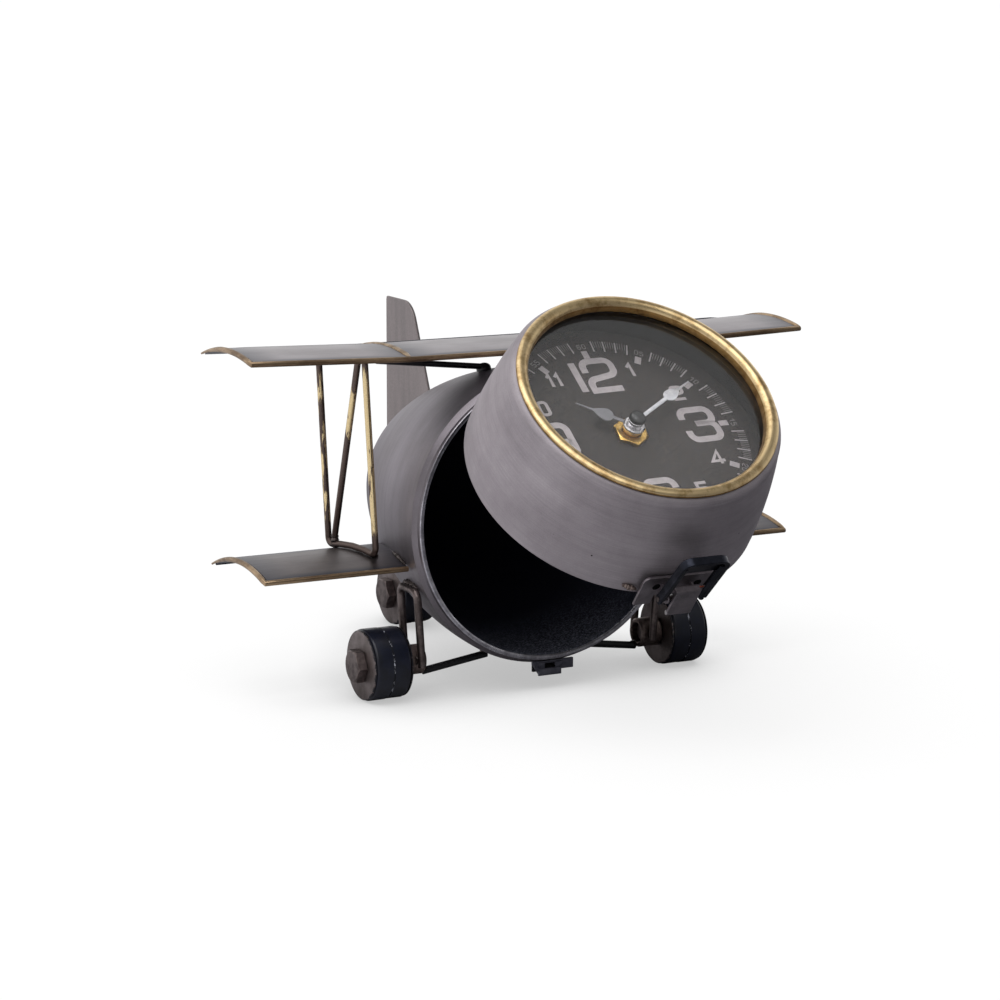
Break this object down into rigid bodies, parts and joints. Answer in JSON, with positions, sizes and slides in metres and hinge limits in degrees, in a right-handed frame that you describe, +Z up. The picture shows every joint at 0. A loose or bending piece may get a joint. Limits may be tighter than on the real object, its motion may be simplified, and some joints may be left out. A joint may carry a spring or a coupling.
{
  "type": "table clock",
  "caption": "Table clock shaped like a biplane: a hollow spun-metal fuselage on wheels, with the clock in a hinged drum lid that latches under the nose.",
  "frame": {"origin": "middle of the clock's outline on the surface that it stands on, with the lid open as in the picture", "axes": "+Z up, the nose and the dial towards -Y, the tail towards +Y, the wings along X; left and right are as seen from the front"},
  "size_m": [0.2632, 0.294, 0.1731],
  "materials": {
    "spun_steel": "spun and brushed grey metal with fine turning lines under clear lacquer",
    "wing_steel": "grey sheet with a worn, slightly mottled finish",
    "bronze_edge": "rolled edge rubbed back to a dull bronze",
    "wire_steel": "dark grey metal, rubbed bright on its edges",
    "blackened_steel": "satin black",
    "aged_brass": "antique brass, brushed",
    "clear_glass": "clear flat glass",
    "black_plastic": "matt black",
    "dial_print": "printed matt charcoal with pale numerals",
    "hand_grey": "thin stamped hand, satin silver grey",
    "tyre": "black, slightly shiny",
    "battery_sleeve": "plain printed sleeve"
  },
  "bodies": {
    "airframe": {"fuselage_shell": "spun_steel", "tail_fin": "spun_steel", "upper_wing_centre": "wing_steel", "upper_wing_left": "wing_steel", "upper_wing_right": "wing_steel", "upper_wing_edge": "bronze_edge", "wing_rib_left": "bronze_edge", "wing_rib_right": "bronze_edge", "lower_wing_left": "wing_steel", "lower_wing_right": "wing_steel", "lower_wing_edge_left": "bronze_edge", "lower_wing_edge_right": "bronze_edge", "wing_strut_left": "wire_steel", "wing_strut_right": "wire_steel", "strut_diagonal_left": "wire_steel", "strut_diagonal_right": "wire_steel", "cabane_strut_left": "blackened_steel", "cabane_strut_right": "blackened_steel", "gear_legs_left": "wire_steel", "gear_legs_right": "wire_steel", "tail_gear_legs": "wire_steel", "gear_spreader_left": "blackened_steel", "gear_spreader_right": "blackened_steel", "axle_sleeve_left": "blackened_steel", "axle_sleeve_right": "blackened_steel", "axle_sleeve_tail": "blackened_steel", "wheel_bolt_left": "wire_steel", "wheel_bolt_right": "wire_steel", "wheel_bolt_tail": "wire_steel", "latch_catch": "blackened_steel", "hinge_leaf_fuselage": "wire_steel", "hinge_pin": "blackened_steel"},
    "lid": {"hinge_leaf_lid": "wire_steel", "clock_drum": "spun_steel", "dial_carrier": "black_plastic", "bezel": "aged_brass", "glass_lens": "clear_glass", "inner_wall_ring": "black_plastic", "dial": "dial_print", "movement_case": "black_plastic", "dial_bush": "aged_brass", "dial_nut": "aged_brass", "battery": "battery_sleeve", "latch_plate": "wire_steel", "latch_pivot_pin": "wire_steel"},
    "minute_hand": {"minute_hand": "hand_grey", "hand_arbor": "wire_steel", "hand_cap": "black_plastic"},
    "hour_hand": {"hour_hand": "hand_grey"},
    "setting_knob": {"setting_knob": "black_plastic"},
    "latch_lever": {"latch_lever": "blackened_steel", "hook_pin": "wire_steel"},
    "latch_hook": {"latch_hook": "wire_steel"},
    "left_wheel": {"tyre_left": "tyre", "wheel_hub_left": "spun_steel"},
    "right_wheel": {"tyre_right": "tyre", "wheel_hub_right": "spun_steel"},
    "tail_wheel": {"tyre_tail": "tyre", "wheel_hub_tail": "spun_steel"}
  },
  "joints": [
    {"name": "lid_hinge", "type": "hinge", "parent": "airframe", "child": "lid", "pos_m": [0, -0.01606, 0.14057], "axis": [-1, 0, 0], "range_deg": [-51.5, 50]},
    {"name": "minute_hand_turn", "type": "hinge", "parent": "lid", "child": "minute_hand", "pos_m": [0, -0.08395, 0.12005], "axis": [0, 0.6225, -0.7826], "continuous": true},
    {"name": "hour_hand_turn", "type": "hinge", "parent": "lid", "child": "hour_hand", "pos_m": [0, -0.08395, 0.12005], "axis": [0, 0.6225, -0.7826], "continuous": true},
    {"name": "setting_knob_turn", "type": "hinge", "parent": "lid", "child": "setting_knob", "pos_m": [0, -0.06247, 0.11554], "axis": [0, 0.6225, -0.7826], "continuous": true},
    {"name": "latch_lever_swing", "type": "hinge", "parent": "lid", "child": "latch_lever", "pos_m": [0, -0.12554, 0.0623], "axis": [1, 0, 0], "range_deg": [-8, 95]},
    {"name": "latch_hook_swing", "type": "hinge", "parent": "latch_lever", "child": "latch_hook", "pos_m": [0, -0.1296, 0.06602], "axis": [1, 0, 0], "range_deg": [-95, 8]},
    {"name": "left_wheel_spin", "type": "hinge", "parent": "airframe", "child": "left_wheel", "pos_m": [-0.07165, 0.00064, 0.01517], "axis": [1, 0, 0], "continuous": true},
    {"name": "right_wheel_spin", "type": "hinge", "parent": "airframe", "child": "right_wheel", "pos_m": [0.07165, 0.00064, 0.01517], "axis": [1, 0, 0], "continuous": true},
    {"name": "tail_wheel_spin", "type": "hinge", "parent": "airframe", "child": "tail_wheel", "pos_m": [-0.00215, 0.12204, 0.01517], "axis": [1, 0, 0], "continuous": true}
  ],
  "couplings": [
    {"joint": "hour_hand_turn", "follows": "minute_hand_turn", "ratio": 0.083333},
    {"joint": "setting_knob_turn", "follows": "minute_hand_turn", "ratio": -3},
    {"joint": "latch_hook_swing", "follows": "latch_lever_swing", "ratio": -1}
  ]
}
